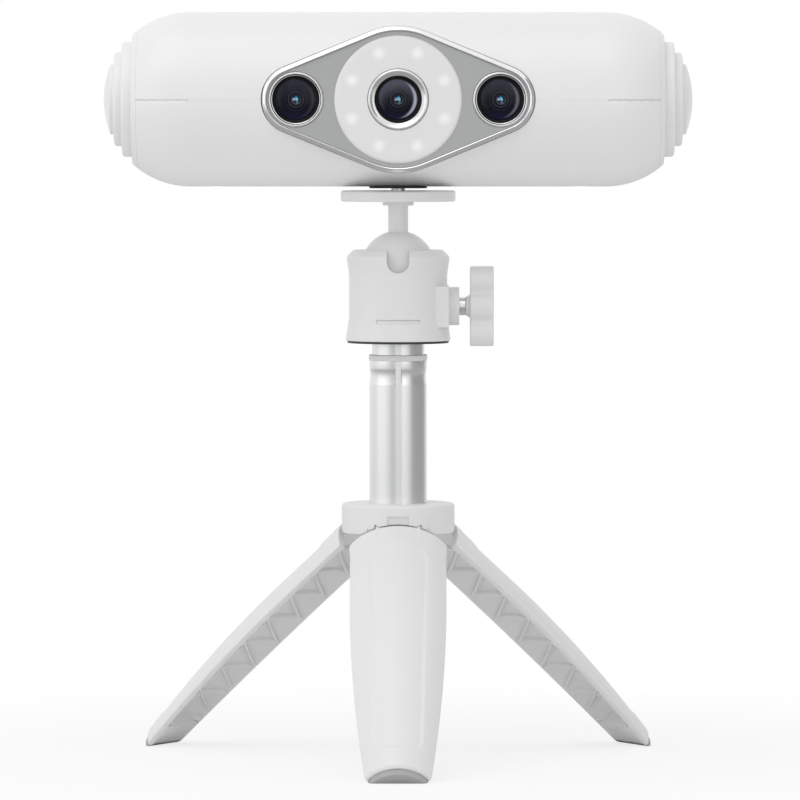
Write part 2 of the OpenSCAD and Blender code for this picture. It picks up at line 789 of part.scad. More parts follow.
module bench_screws() color(bright) {
  forward(bench_back - 1.2, bench_back) at_bench_screws() circle(boss_r - 0.3);
  forward(bench_back, bench_front + bench_screw_len) at_bench_screws() circle(bench_screw_r);
}

// Sensor board behind one outer lens
module sensor_board(x) color(green) {
  forward(bench_back - board_t, bench_back) translate([x, 0]) square([sensor_w, sensor_h], center = true);
  forward(bench_back, bench_back + board_t) translate([x, 0]) square(chip_side, center = true);
}

module sensor_board_left() sensor_board(-lens_pitch);
module sensor_board_right() sensor_board(lens_pitch);

module projector_engine() color(dark) {
  forward(bench_back - projector_depth, bench_back) square(projector_w, center = true);
  forward(bench_back, bench_front) circle(rear_r - seat_fit);
}

module board_standoffs() color("#c9a552") for (x = [-standoff_x, standoff_x], z = [-standoff_z, standoff_z])
  forward(board_front, bench_back) translate([x, z]) circle(standoff_r);

module main_board() color(green) forward(board_rear, board_front) square([board_w, board_h], center = true);

module usb_socket() color(silver) translate([-control_x, -board_rear, axis_z]) rotate([-90, 0, 0])
  linear_extrude(body_r - shell_wall / 2 + board_rear) difference() {
    usb_outline(0);
    usb_outline(-usb_wall);
  }

module button_switch() color(dark) translate([control_x, -board_rear, axis_z]) rotate([-90, 0, 0]) {
  linear_extrude(switch_h) square(switch_side, center = true);
}

module scan_button() color("#d9dadc") lathe_back(control_x) {
  switch_top = -board_rear + switch_h;
  foot = switch_top + button_travel + pass_gap;
  rounded(0, button_inner - button_flange_t, button_r, body_r + button_proud, 0.6);
  translate([0, button_inner - button_flange_t]) square([button_flange_r, button_flange_t]);
  translate([0, foot]) square([2, button_inner - foot]);
}

module tripod_nut() color("#c9a552") translate([0, 0, nut_z]) difference() {
  cylinder(r = nut_r, h = nut_h);
  translate([0, 0, -1]) cylinder(r = stud_r + run_fit, h = nut_h + 2);
}

module base_pad() color(dark) translate([0, 0, pad_z]) difference() {
  linear_extrude(pad_seat - pad_z) pad_outline(0);
  translate([0, 0, -1]) cylinder(r = stud_r + pass_gap, h = far);
}

module mount_plate() color(bright) translate([0, 0, plate_z]) rotate_extrude() difference() {
  rounded(0, 0, plate_r, plate_t, 0.5);
  translate([0, -1]) square([stud_r + seat_fit, far]);
}

module mount_screw() color(silver) translate([0, 0, plate_z]) {
  cylinder(r = stud_r, h = plate_t);
  translate([0, 0, -stem_len / 3]) cylinder(r = stem_r / 2, h = stem_len / 3);
  translate([0, 0, plate_t]) cylinder(r = stud_neck_r, h = pad_gap + pad_proud);
  translate([0, 0, plate_t + pad_gap + pad_proud]) cylinder(r = stud_r, h = stud_len - pad_gap - pad_proud);
}

module ball_stem() color(bright) difference() {
  union() {
    translate([0, 0, ball_z + ball_r / 2]) cylinder(r = stem_r, h = stem_len - ball_r / 2);
    translate([0, 0, plate_z - flange_t]) cylinder(r = flange_r, h = flange_t);
  }
  translate([0, 0, plate_z - stem_len / 3 - 0.2]) cylinder(r = stem_r / 2 + seat_fit, h = stem_len);
}

module ball() color(bright) difference() {
  translate([0, 0, ball_z]) sphere(ball_r);
  translate([0, 0, ball_z + ball_r / 2]) cylinder(r = stem_r + seat_fit, h = ball_r);
}

// Outer half profile of the ball head's housing, from its base up
module housing_profile() polygon([[0, 0], [housing_base_r, 0], [housing_base_r, housing_h * 0.03],
  [housing_waist_r, housing_h * 0.26], [housing_waist_r, housing_h * 0.72],
  [housing_top_r, housing_h * 0.9], [housing_top_r, housing_h - housing_chamfer],
  [housing_top_r - housing_chamfer, housing_h], [0, housing_h]]);

module ball_housing() color(white) difference() {
  union() {
    translate([0, 0, housing_z]) rotate_extrude() housing_profile();
    translate([0, 0, knob_z]) rotate([0, 90, 0]) cylinder(r = knob_boss_r, h = knob_boss_x);
    translate([0, -landing_y, knob_z - knob_boss_r - 0.4]) cube([landing_x, 2 * landing_y, 2 * knob_boss_r + 0.8]);
  }
  translate([0, 0, ball_z]) sphere(socket_r);
  translate([0, 0, ball_z]) cylinder(r = sqrt(pow(socket_r, 2) - pow(housing_h - ball_up, 2)) + pass_gap, h = far);
  translate([0, 0, housing_z + housing_floor])
    cylinder(r = cup_r + seat_fit, h = ball_up - housing_floor - sqrt(pow(socket_r, 2) - pow(cup_r, 2)));
  translate([0, 0, housing_z - 1]) cylinder(r = stud_r + seat_fit, h = far / 3);
  translate([0, 0, knob_z]) rotate([0, 90, 0]) cylinder(r = clamp_r + run_fit, h = far);
  translate([0, 0, ball_z - notch_drop + notch_w / 2]) rotate([90, 0, 0]) cylinder(d = notch_w, h = far);
  translate([-notch_w / 2, -far, ball_z - notch_drop + notch_w / 2]) cube([notch_w, far, far]);
  intersection() {
    translate([-mark_half, -far, housing_z + mark_up]) cube([2 * mark_half, far, mark_h]);
    translate([0, 0, housing_z + mark_up]) difference() {
      cylinder(r = housing_base_r, h = mark_h);
      cylinder(r = housing_waist_r - mark_depth, h = mark_h);
    }
  }
}

module ball_cup() color(dark) difference() {
  translate([0, 0, housing_z + housing_floor]) cylinder(r = cup_r, h = ball_up - housing_floor - cup_drop);
  translate([0, 0, ball_z]) sphere(socket_r);
  translate([clamp_start, 0, knob_z]) rotate([0, 90, 0]) cylinder(r = clamp_r + run_fit, h = far);
}

// Outline of the clamp knob's two wings
module wing_outline() {
  tip = (wing_len - wing_tip) / 2;
  circle(knob_hub_r);
  for (y = [-tip, tip]) translate([0, y]) circle(d = wing_tip);
  square([wing_waist, 2 * tip], center = true);
}

module clamp_knob() color(white) translate([0, 0, knob_z]) rotate([0, 90, 0]) {
  translate([0, 0, knob_x]) cylinder(r1 = clamp_r, r2 = clamp_r + 0.6, h = knob_cone);
  translate([0, 0, wing_x]) linear_extrude(wing_t) rotate(90) wing_outline();
}

module clamp_screw() color(silver) translate([clamp_start + pass_gap, 0, knob_z]) rotate([0, 90, 0])
  cylinder(r = clamp_r, h = knob_x - clamp_start - pass_gap);

module base_washer() color(dark) translate([0, 0, head_z]) difference() {
  cylinder(r = washer_r, h = washer_t);
  translate([0, 0, -1]) cylinder(r = stud_r + seat_fit, h = washer_t + 2);
}

module head_plug() color(silver) translate([0, 0, head_z]) {
  translate([0, 0, -plug_depth]) cylinder(r = inner_in_r - seat_fit, h = plug_depth);
  cylinder(r = stud_r, h = washer_t + plug_screw);
}

// Groove along the front of a tube of radius r
module tube_groove(r) translate([-groove_w / 2, -r - 1, 0]) cube([groove_w, groove_depth + 1, 4 * far]);

module inner_tube() color(silver) difference() {
  translate([0, 0, inner_bottom]) cylinder(r = inner_r, h = head_z - inner_bottom);
  translate([0, 0, inner_bottom - 1]) cylinder(r = inner_in_r, h = far * 2);
  tube_groove(inner_r);
}

module slide_bush() color(dark) translate([0, 0, bush_z]) difference() {
  cylinder(r = inner_r, h = bush_h);
  translate([0, 0, -1]) cylinder(r = inner_in_r, h = bush_h + 2);
}

module tube_ring() color(white) translate([0, 0, tube_top]) difference() {
  cylinder(r = tube_r + tube_ring_proud, h = tube_ring_h);
  translate([0, 0, -1]) cylinder(r = inner_r + run_fit, h = tube_ring_h + 2);
}

module outer_tube() color(silver) difference() {
  translate([0, 0, tube_bottom]) cylinder(r = tube_r, h = tube_top - tube_bottom);
  translate([0, 0, tube_bottom - 1]) cylinder(r = tube_in_r, h = far * 2);
  translate([0, 0, tube_top - pinch_drop - pinch_h / 2]) rotate_extrude()
    translate([tube_r - pinch_depth + pinch_r, 0]) circle(pinch_r, $fn = 360);
  tube_groove(tube_r);
}

// Repeats a child for the front, right and left legs
module three_ways() for (i = [0 : 2]) rotate([0, 0, i * 120]) children();

// Line of the front hinge, as a cylinder of radius r between two half widths
module hinge_line(r, half_w) translate([-half_w, -hinge_r, hinge_z]) rotate([0, 90, 0])
  cylinder(r = r, h = 2 * half_w);

// Two lugs of the front hinge, widened by grow on their sides
module lug_blocks(r, grow, back) for (s = [-1, 1])
  translate([s * (lug_x + lug_w / 2) - lug_w / 2 - grow, -hinge_r, hinge_z]) {
    rotate([0, 90, 0]) cylinder(r = r, h = lug_w + 2 * grow);
    translate([0, 0, -r]) cube([lug_w + 2 * grow, back, 2 * r]);
  }

// Arch in the hub's skirt that an open leg's upper end fills
module hub_arch() translate([0, 0, hinge_z]) rotate([90, 0, 0]) linear_extrude(grip_r + 1) translate([0, pass_gap])
  polygon(concat([[leg_wide, -far], [-leg_wide, -far]],
    [for (i = [0 : face_steps]) let (x = leg_wide * (2 * i / face_steps - 1))
      [x, (sqrt(pow(grip_r, 2) - pow(x, 2)) - hinge_r) * sin(leg_open) - leg_top * cos(leg_open)]]));

module hub() color(white) difference() {
  union() {
    difference() {
      translate([0, 0, hub_bottom]) rotate_extrude() difference() {
        rounded(0, -hub_round, grip_r, hub_h, hub_round);
        translate([0, -hub_round]) square([grip_r + 1, hub_round]);
      }
      three_ways() {
        hinge_line(pocket_r, hinge_half + pass_gap);
        difference() {
          hub_arch();
          translate([0, 0, hinge_z - far]) cylinder(r = core_r, h = 2 * far);
        }
        translate([-hub_notch_w / 2, -grip_r - 1, hinge_z + hub_notch_up - hub_notch_h / 2])
          cube([hub_notch_w, 1 + hub_notch_depth, hub_notch_h]);
      }
    }
    translate([0, 0, hinge_z - lug_r]) cylinder(r = core_r, h = lug_r + 1);
    three_ways() lug_blocks(lug_r, 0, hinge_r - core_r + 0.5);
  }
  translate([0, 0, hinge_z - far / 2]) cylinder(r = tube_r + run_fit, h = far);
  three_ways() hinge_line(pin_r + seat_fit, hinge_half + lug_w);
}

module hinge_pins() color(silver) three_ways() hinge_line(pin_r, lug_x + lug_w);

// Extrudes an outline of the closed front leg straight through it
module through_leg() translate([0, 0, hinge_z]) rotate([90, 0, 0]) linear_extrude(grip_r * 2) children();

// Round of the closed legs, set in by inset, between two distances from the hinge
module barrel(inset, from, to) {
  if (from < leg_straight) translate([0, 0, hinge_z - min(to, leg_straight)])
    cylinder(r = grip_r - inset, h = min(to, leg_straight) - from);
  if (to > leg_straight) translate([0, 0, hinge_z]) rotate_extrude() intersection() {
    translate([grip_r - taper_r, -leg_straight]) circle(taper_r - inset, $fn = 720);
    translate([0, -to]) square([grip_r, to - max(from, leg_straight)]);
  }
}

// Third of the round that one leg takes
module leg_wedge() translate([0, 0, hinge_z - 2 * far]) linear_extrude(4 * far)
  polygon([[0, 0], [-far * sin(leg_half_angle), -far * cos(leg_half_angle)], [0, -2 * far],
    [far * sin(leg_half_angle), -far * cos(leg_half_angle)]]);

// Crossing ribs, drawn flat
module lattice() for (i = [0 : lattice_count - 1], s = [-1, 1])
  translate([0, -lattice_start - (i + 0.5) * lattice_pitch]) rotate(s * lattice_angle)
    square([4 * leg_wide, lattice_t], center = true);

// Radius of the closed legs at a distance from the hinge beyond their straight part
function leg_round(d) = grip_r - taper_r + sqrt(pow(taper_r, 2) - pow(d - leg_straight, 2));

// Keeps what a leg's solid end takes of a round
module toe_part() intersection() {
  children();
  leg_wedge();
  translate([-far, -sole_r - far, hinge_z - 2 * far]) cube([2 * far, far, 2 * far]);
}

// Grip panel with round corners, drawn flat
module panel_outline() {
  top = -panel_start - panel_round;
  end = -leg_len + panel_end + panel_round;
  wt = panel_top_w - panel_round;
  we = panel_end_w - panel_round;
  corners = [[we, end, -90], [wt, top, 0], [-wt, top, 90], [-we, end, 180]];
  polygon([for (c = corners, i = [0 : corner_steps])
    [c[0], c[1]] + panel_round * [cos(c[2] + i * 90 / corner_steps), sin(c[2] + i * 90 / corner_steps)]]);
}

// Front leg, closed, hanging straight down from its hinge
module closed_leg() difference() {
  union() {
    intersection() {
      difference() {
        barrel(0, leg_top, sole_z);
        barrel(leg_wall, leg_top - 1, sole_z + 1);
      }
      leg_wedge();
    }
    intersection() {
      difference() {
        barrel(leg_wall / 2, lattice_start, toe_z + 1);
        barrel(leg_wall + lattice_h, lattice_start - 1, toe_z + 2);
      }
      leg_wedge();
      through_leg() lattice();
    }
    toe_part() barrel(0, toe_z, sole_z);
    hinge_line(knuckle_r, hinge_half);
    translate([-hinge_half, -hinge_r - knuckle_r, hinge_z - lattice_start])
      cube([2 * hinge_half, knuckle_r, lattice_start]);
  }
  lug_blocks(slot_r, pass_gap, far);
  for (s = [-1, 1]) translate([s * (lug_x + lug_w / 2) - lug_w / 2 - pass_gap, -hinge_r - slot_r / 2, hinge_z])
    cube([lug_w + 2 * pass_gap, far, far]);
  hinge_line(pin_r + run_fit, far);
  intersection() {
    through_leg() panel_outline();
    difference() {
      barrel(-1, panel_start / 2, leg_len);
      barrel(panel_depth, panel_start / 2 - 1, leg_len + 1);
    }
  }
}

// Opens a closed front leg and turns it to its place round the column
module opened(turn) rotate([0, 0, turn]) translate([0, -hinge_r, hinge_z]) rotate([-leg_open, 0, 0])
  translate([0, hinge_r, -hinge_z]) children();

module leg_front() color(white) opened(0) closed_leg();
module leg_right() color(white) opened(120) closed_leg();
module leg_left() color(white) opened(-120) closed_leg();

// Dark sole of one leg, cut flat where it stands on the floor
module sole(turn) color("#6b6c6f") difference() {
  opened(turn) toe_part() translate([0, 0, hinge_z - leg_len])
    cylinder(r1 = leg_end_r - sole_in, r2 = leg_round(sole_z) - sole_in, h = leg_len - sole_z);
  translate([-2 * far, -2 * far, -far]) cube([4 * far, 4 * far, far]);
}

module foot_front() sole(0);
module foot_right() sole(120);
module foot_left() sole(-120);

upper_shell();
lower_shell();
end_cap_left();
end_cap_right();
shell_screws();
trim_frame();
face_plate();
light_diffuser();
led_board();
leds();
lens_ring_left();
lens_ring_centre();
lens_ring_right();
lens_barrel_left();
lens_barrel_centre();
lens_barrel_right();
lens_left();
lens_centre();
lens_right();
rear_lens_left();
rear_lens_centre();
rear_lens_right();
optical_bench();
bench_screws();
sensor_board_left();
sensor_board_right();
projector_engine();
board_standoffs();
main_board();
usb_socket();
button_switch();
scan_button();
tripod_nut();
base_pad();
mount_plate();
mount_screw();
ball_stem();
ball();
ball_housing();
ball_cup();
clamp_knob();
clamp_screw();
base_washer();
head_plug();
inner_tube();
slide_bush();
tube_ring();
outer_tube();
hub();
hinge_pins();
leg_front();
leg_left();
leg_right();
foot_front();
foot_left();
foot_right();
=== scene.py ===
import json
from math import radians, pi, sin, cos, asin, sqrt
import bpy
import bmesh
from mathutils import Vector, Matrix


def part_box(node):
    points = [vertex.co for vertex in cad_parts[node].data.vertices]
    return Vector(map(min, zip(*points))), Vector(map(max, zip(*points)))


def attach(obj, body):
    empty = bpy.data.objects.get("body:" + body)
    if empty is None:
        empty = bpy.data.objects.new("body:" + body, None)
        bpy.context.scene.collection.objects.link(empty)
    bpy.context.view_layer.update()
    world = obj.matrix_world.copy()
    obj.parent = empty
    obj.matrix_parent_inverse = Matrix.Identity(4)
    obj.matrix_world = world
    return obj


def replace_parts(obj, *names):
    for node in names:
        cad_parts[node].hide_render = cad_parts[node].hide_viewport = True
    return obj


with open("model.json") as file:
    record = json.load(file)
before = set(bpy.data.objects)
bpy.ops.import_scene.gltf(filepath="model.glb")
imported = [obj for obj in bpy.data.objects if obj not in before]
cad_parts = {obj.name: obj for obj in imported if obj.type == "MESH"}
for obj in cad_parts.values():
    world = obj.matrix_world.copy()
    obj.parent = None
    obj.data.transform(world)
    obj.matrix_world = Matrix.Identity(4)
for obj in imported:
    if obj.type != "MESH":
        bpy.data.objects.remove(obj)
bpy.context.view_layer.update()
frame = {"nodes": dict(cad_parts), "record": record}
nodes = frame["nodes"]
print("frame loaded:", len(nodes), "nodes")

bodyOf = {n: body for body, names in frame["record"]["behaviour"]["bodies"].items() for n in names}
slotOf = {s["node"]: s["material_slot"] for s in frame["record"]["subparts"]}


# shader groups that several finishes share

def newGroup(name, inputs, outputs):
    group = bpy.data.node_groups.new(name, "ShaderNodeTree")
    for label, kind, value in inputs:
        socket = group.interface.new_socket(name=label, in_out="INPUT", socket_type=kind)
        if value is not None:
            socket.default_value = value
    for label, kind in outputs:
        group.interface.new_socket(name=label, in_out="OUTPUT", socket_type=kind)
    return group, group.nodes.new("NodeGroupInput"), group.nodes.new("NodeGroupOutput")


def feed(tree, socket, value):  # a number, or a link from another node
    if isinstance(value, (int, float)):
        socket.default_value = value
    else:
        tree.links.new(value, socket)


def mathNode(tree, operation, a, b=None):
    node = tree.nodes.new("ShaderNodeMath")
    node.operation = operation
    for socket, value in zip(node.inputs, (a, b)):
        if value is not None:
            feed(tree, socket, value)
    return node.outputs[0]


def rangeNode(tree, value, fromMin, fromMax, toMin=0.0, toMax=1.0, kind="LINEAR"):
    node = tree.nodes.new("ShaderNodeMapRange")
    node.interpolation_type = kind
    tree.links.new(value, node.inputs["Value"])
    limits = {"From Min": fromMin, "From Max": fromMax, "To Min": toMin, "To Max": toMax}
    for label, number in limits.items():
        feed(tree, node.inputs[label], number)
    return node.outputs["Result"]


def smoothRange(tree, value, fromMin, fromMax):  # soft step from 0 to 1
    return rangeNode(tree, value, fromMin, fromMax, kind="SMOOTHSTEP")


def invert(tree, value):
    return mathNode(tree, "SUBTRACT", 1.0, value)


def squareSum(tree, a, b):
    return mathNode(tree, "ADD", mathNode(tree, "MULTIPLY", a, a), mathNode(tree, "MULTIPLY", b, b))


def noiseNode(tree, vector, scale, detail, roughness=0.5):
    node = tree.nodes.new("ShaderNodeTexNoise")
    node.inputs["Detail"].default_value = detail
    node.inputs["Roughness"].default_value = roughness
    feed(tree, node.inputs["Scale"], scale)
    tree.links.new(vector, node.inputs["Vector"])
    return node.outputs["Fac"]


def buildMouldGrain():  # fine spark texture of moulded plastic, with slow clouds of tone
    group, start, end = newGroup("mouldGrain",
        [("Vector", "NodeSocketVector", None), ("Grain Scale", "NodeSocketFloat", 5000.0),
         ("Cloud Scale", "NodeSocketFloat", 40.0), ("Base Roughness", "NodeSocketFloat", 0.4),
         ("Roughness Swing", "NodeSocketFloat", 0.08), ("Tone Swing", "NodeSocketFloat", 0.02)],
        [("Tone", "NodeSocketFloat"), ("Roughness", "NodeSocketFloat"), ("Height", "NodeSocketFloat")])
    vector = start.outputs["Vector"]
    grain = noiseNode(group, vector, start.outputs["Grain Scale"], detail=2.0, roughness=0.6)
    cloud = noiseNode(group, vector, start.outputs["Cloud Scale"], detail=3.0)
    swing = start.outputs["Roughness Swing"]
    base = start.outputs["Base Roughness"]
    halves = [mathNode(group, "MULTIPLY", noise, 0.5) for noise in (grain, cloud)]
    mixed = mathNode(group, "ADD", *halves)
    centred = mathNode(group, "SUBTRACT", mixed, 0.5)
    wide = mathNode(group, "MULTIPLY", swing, 4.0)  # noise stays near its middle, so the swing is widened
    rough = mathNode(group, "ADD", base, mathNode(group, "MULTIPLY", centred, wide))
    tone = mathNode(group, "ADD", 1.0, mathNode(group, "MULTIPLY", mathNode(group, "SUBTRACT", cloud, 0.5),
        start.outputs["Tone Swing"]))
    group.links.new(tone, end.inputs["Tone"])
    group.links.new(rough, end.inputs["Roughness"])
    group.links.new(grain, end.inputs["Height"])
    return group


def buildDrawnLines():  # fine lines left by drawing, turning or brushing
    group, start, end = newGroup("drawnLines",
        [("Vector", "NodeSocketVector", None), ("Line Scale", "NodeSocketFloat", 1.0),
         ("Base Roughness", "NodeSocketFloat", 0.3), ("Roughness Swing", "NodeSocketFloat", 0.12),
         ("Tone Swing", "NodeSocketFloat", 0.1)],
        [("Tone", "NodeSocketFloat"), ("Roughness", "NodeSocketFloat"), ("Height", "NodeSocketFloat")])
    vector, scale = start.outputs["Vector"], start.outputs["Line Scale"]
    lines = noiseNode(group, vector, scale, detail=3.0, roughness=0.65)
    centred = mathNode(group, "SUBTRACT", lines, 0.5)
    tone = mathNode(group, "ADD", 1.0, mathNode(group, "MULTIPLY", centred, start.outputs["Tone Swing"]))
    rough = mathNode(group, "ADD", start.outputs["Base Roughness"],
        mathNode(group, "MULTIPLY", centred, start.outputs["Roughness Swing"]))
    group.links.new(tone, end.inputs["Tone"])
    group.links.new(rough, end.inputs["Roughness"])
    group.links.new(lines, end.inputs["Height"])
    return group


mouldGrain = buildMouldGrain()
drawnLines = buildDrawnLines()


def tintBy(tree, colour, tone):  # colour times a tone that changes over the surface
    mix = tree.nodes.new("ShaderNodeMix")
    mix.data_type = "RGBA"
    mix.blend_type = "MULTIPLY"
    mix.inputs["Factor"].default_value = 1.0
    mix.inputs["A"].default_value = (*colour, 1.0)
    tree.links.new(tone, mix.inputs["B"])
    return mix.outputs["Result"]


def objectVector(tree, scale=(1, 1, 1), place=(0, 0, 0)):
    coords = tree.nodes.new("ShaderNodeTexCoord")
    mapping = tree.nodes.new("ShaderNodeMapping")
    mapping.inputs["Scale"].default_value = scale
    mapping.inputs["Location"].default_value = place
    tree.links.new(coords.outputs["Object"], mapping.inputs["Vector"])
    return mapping.outputs["Vector"]


def millimetresFrom(tree, centre):  # offset from a centre, in millimetres
    return objectVector(tree, (1000, 1000, 1000), tuple(-c * 1000 for c in centre))


def startFinish(name):
    material = bpy.data.materials.new(name)
    material.use_nodes = True
    tree = material.node_tree
    return material, tree, tree.nodes["Principled BSDF"]


def bumpFrom(tree, shader, height, strength, distance=0.0001):
    bump = tree.nodes.new("ShaderNodeBump")
    bump.inputs["Strength"].default_value = strength
    bump.inputs["Distance"].default_value = distance
    tree.links.new(height, bump.inputs["Height"])
    tree.links.new(bump.outputs["Normal"], shader.inputs["Normal"])


def plasticFinish(name, look):
    material, tree, shader = startFinish(name)
    grain = tree.nodes.new("ShaderNodeGroup")
    grain.node_tree = mouldGrain
    tree.links.new(objectVector(tree), grain.inputs["Vector"])
    grain.inputs["Grain Scale"].default_value = look["grain"]
    grain.inputs["Base Roughness"].default_value = look["rough"]
    grain.inputs["Roughness Swing"].default_value = look.get("swing", 0.08)
    grain.inputs["Tone Swing"].default_value = look.get("tone", 0.02)
    tree.links.new(tintBy(tree, look["colour"], grain.outputs["Tone"]), shader.inputs["Base Color"])
    tree.links.new(grain.outputs["Roughness"], shader.inputs["Roughness"])
    bumpFrom(tree, shader, grain.outputs["Height"], look["bump"])
    shader.inputs["Specular IOR Level"].default_value = look.get("specular", 0.5)
    return material


def metalFinish(name, look):
    material, tree, shader = startFinish(name)
    lines = tree.nodes.new("ShaderNodeGroup")
    lines.node_tree = drawnLines
    tree.links.new(objectVector(tree, look["stretch"]), lines.inputs["Vector"])
    lines.inputs["Base Roughness"].default_value = look["rough"]
    tree.links.new(tintBy(tree, look["colour"], lines.outputs["Tone"]), shader.inputs["Base Color"])
    tree.links.new(lines.outputs["Roughness"], shader.inputs["Roughness"])
    bumpFrom(tree, shader, lines.outputs["Height"], look["bump"])
    shader.inputs["Metallic"].default_value = look.get("metallic", 1.0)
    return material


finishes = {
    "shell_white": plasticFinish("satinShellPlastic",
        {"colour": (0.83, 0.83, 0.835), "grain": 6000.0, "rough": 0.34, "bump": 0.06}),
    "rim_metal": metalFinish("polishedRimMetal",
        {"colour": (0.84, 0.845, 0.85), "stretch": (300, 300, 300), "rough": 0.2, "bump": 0.02}),
    "face_grey": metalFinish("blastedFaceMetal",
        {"colour": (0.43, 0.435, 0.44), "stretch": (4000, 4000, 4000), "rough": 0.55, "bump": 0.1,
            "metallic": 0.35}),
    "circuit_board": plasticFinish("solderMask",
        {"colour": (0.03, 0.16, 0.07), "grain": 3000.0, "rough": 0.35, "bump": 0.1, "tone": 0.2}),
    "led": plasticFinish("phosphor",
        {"colour": (0.9, 0.82, 0.6), "grain": 4000.0, "rough": 0.3, "bump": 0.03}),
    "ring_metal": metalFinish("turnedRingMetal",
        {"colour": (0.72, 0.725, 0.73), "stretch": (200, 4000, 200), "rough": 0.22, "bump": 0.03}),
    "barrel_black": plasticFinish("blackBarrel",
        {"colour": (0.006, 0.006, 0.007), "grain": 4000.0, "rough": 0.3, "bump": 0.01, "specular": 0.16}),
    "lens_glass": plasticFinish("coatedGlass",
        {"colour": (0.01, 0.012, 0.03), "grain": 800.0, "rough": 0.04, "bump": 0.0, "swing": 0.02}),
    "bench_metal": metalFinish("milledBench",
        {"colour": (0.6, 0.61, 0.62), "stretch": (100, 100, 4000), "rough": 0.35, "bump": 0.05}),
    "screw_steel": metalFinish("turnedSteel",
        {"colour": (0.74, 0.745, 0.75), "stretch": (500, 500, 4000), "rough": 0.28, "bump": 0.05}),
    "brass": metalFinish("turnedBrass",
        {"colour": (0.66, 0.46, 0.17), "stretch": (500, 500, 4000), "rough": 0.28, "bump": 0.05}),
    "black_plastic": plasticFinish("blackPlastic",
        {"colour": (0.03, 0.03, 0.032), "grain": 4000.0, "rough": 0.45, "bump": 0.08}),
    "button_grey": plasticFinish("buttonPlastic",
        {"colour": (0.62, 0.63, 0.64), "grain": 5000.0, "rough": 0.4, "bump": 0.05}),
    "pad_rubber": plasticFinish("padRubber",
        {"colour": (0.045, 0.045, 0.045), "grain": 3000.0, "rough": 0.7, "bump": 0.2}),
    "head_metal": plasticFinish("headPaint",
        {"colour": (0.79, 0.79, 0.795), "grain": 5000.0, "rough": 0.35, "bump": 0.05}),
    "head_white": plasticFinish("headPlastic",
        {"colour": (0.77, 0.77, 0.775), "grain": 5000.0, "rough": 0.38, "bump": 0.05}),
    "tube_aluminium": metalFinish("drawnTube",
        {"colour": (0.8, 0.805, 0.81), "stretch": (3000, 3000, 12), "rough": 0.3, "bump": 0.05}),
    "stand_white": plasticFinish("legPlastic",
        {"colour": (0.8, 0.8, 0.805), "grain": 5000.0, "rough": 0.42, "bump": 0.06}),
    "sole_grey": plasticFinish("soleRubber",
        {"colour": (0.42, 0.42, 0.425), "grain": 3000.0, "rough": 0.65, "bump": 0.2}),
}
# painted glow: eight faint bright spots on the diffuser where its LEDs sit, made to shine by emission
glowSpotLook = {"radius": 13.35, "core": 0.3, "edge": 2.4, "base": (0.79, 0.79, 0.785), "glow": 0.13}


def buildGlowSpotRing():  # mask of eight soft spots of painted glow on a circle about the lens axis, in millimetres
    group, start, end = newGroup("glowSpotRing",
        [("Vector", "NodeSocketVector", None), ("Radius", "NodeSocketFloat", 13.0),
         ("Core", "NodeSocketFloat", 1.0), ("Edge", "NodeSocketFloat", 2.0)],
        [("Mask", "NodeSocketFloat")])
    split = group.nodes.new("ShaderNodeSeparateXYZ")
    group.links.new(start.outputs["Vector"], split.inputs["Vector"])
    x, z = split.outputs["X"], split.outputs["Z"]
    radius = mathNode(group, "SQRT", squareSum(group, x, z))
    turn = mathNode(group, "ADD", mathNode(group, "ARCTAN2", z, x), 2 * pi)
    folded = mathNode(group, "SUBTRACT", mathNode(group, "MODULO", turn, pi / 4), pi / 8)
    across = mathNode(group, "MULTIPLY", radius, mathNode(group, "SINE", folded))
    outward = mathNode(group, "MULTIPLY", radius, mathNode(group, "COSINE", folded))
    along = mathNode(group, "SUBTRACT", outward, start.outputs["Radius"])
    away = mathNode(group, "SQRT", squareSum(group, across, along))
    mask = smoothRange(group, away, start.outputs["Edge"], start.outputs["Core"])
    group.links.new(mask, end.inputs["Mask"])
    return group


def diffuserFinish(name, centre, look):
    material = plasticFinish(name, {"colour": look["base"], "grain": 5000.0, "rough": 0.45, "bump": 0.03})
    tree = material.node_tree
    shader = tree.nodes["Principled BSDF"]
    ring = tree.nodes.new("ShaderNodeGroup")
    ring.node_tree = buildGlowSpotRing()
    tree.links.new(millimetresFrom(tree, centre), ring.inputs["Vector"])
    for label, key in (("Radius", "radius"), ("Core", "core"), ("Edge", "edge")):
        ring.inputs[label].default_value = look[key]
    # the spots shine by emission: painted light, as the diffuser is no lamp
    tree.links.new(ring.outputs["Mask"], shader.inputs["Emission Color"])
    shader.inputs["Emission Strength"].default_value = look["glow"]
    return material


lensAxisZ = sum(c[2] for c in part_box("lens_centre")) / 2
finishes["diffuser_white"] = diffuserFinish("milkyDiffuserGlowSpots", (0, 0, lensAxisZ), glowSpotLook)
for name, node in nodes.items():
    node.data.materials.clear()
    node.data.materials.append(finishes[slotOf[name]])
print("finishes:", len(finishes))


# pieces taken from the frame's solids, with eased edges

def addPiece(name, bm, body, slot, sharp=35):
    mesh = bpy.data.meshes.new(name)
    bm.normal_update()
    bm.to_mesh(mesh)
    bm.free()
    mesh.shade_smooth()
    mesh.set_sharp_from_angle(angle=radians(sharp))
    mesh.materials.append(finishes[slot])
    piece = bpy.data.objects.new(name, mesh)
    bpy.context.scene.collection.objects.link(piece)
    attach(piece, body)
    return piece


def evenShading(piece):  # large faces keep their own shading beside narrow ones
    piece.modifiers.new("faceNormals", "WEIGHTED_NORMAL").keep_sharp = True


solidLook = {"merge": 3e-6, "flat": 0.6}  # metres and degrees
easeLook = {"corner": 28, "segments": 2, "sharp": 40}
seam = {"cadGap": 0.2, "gap": 0.015, "tolerance": 0.03, "sharp": 30}  # millimetres and degrees


def solidOf(name):
    bm = bmesh.new()
    bm.from_mesh(nodes[name].data)
    bmesh.ops.remove_doubles(bm, verts=bm.verts, dist=solidLook["merge"])
    bmesh.ops.dissolve_limit(bm, angle_limit=radians(solidLook["flat"]), verts=bm.verts, edges=bm.edges)
    return bm


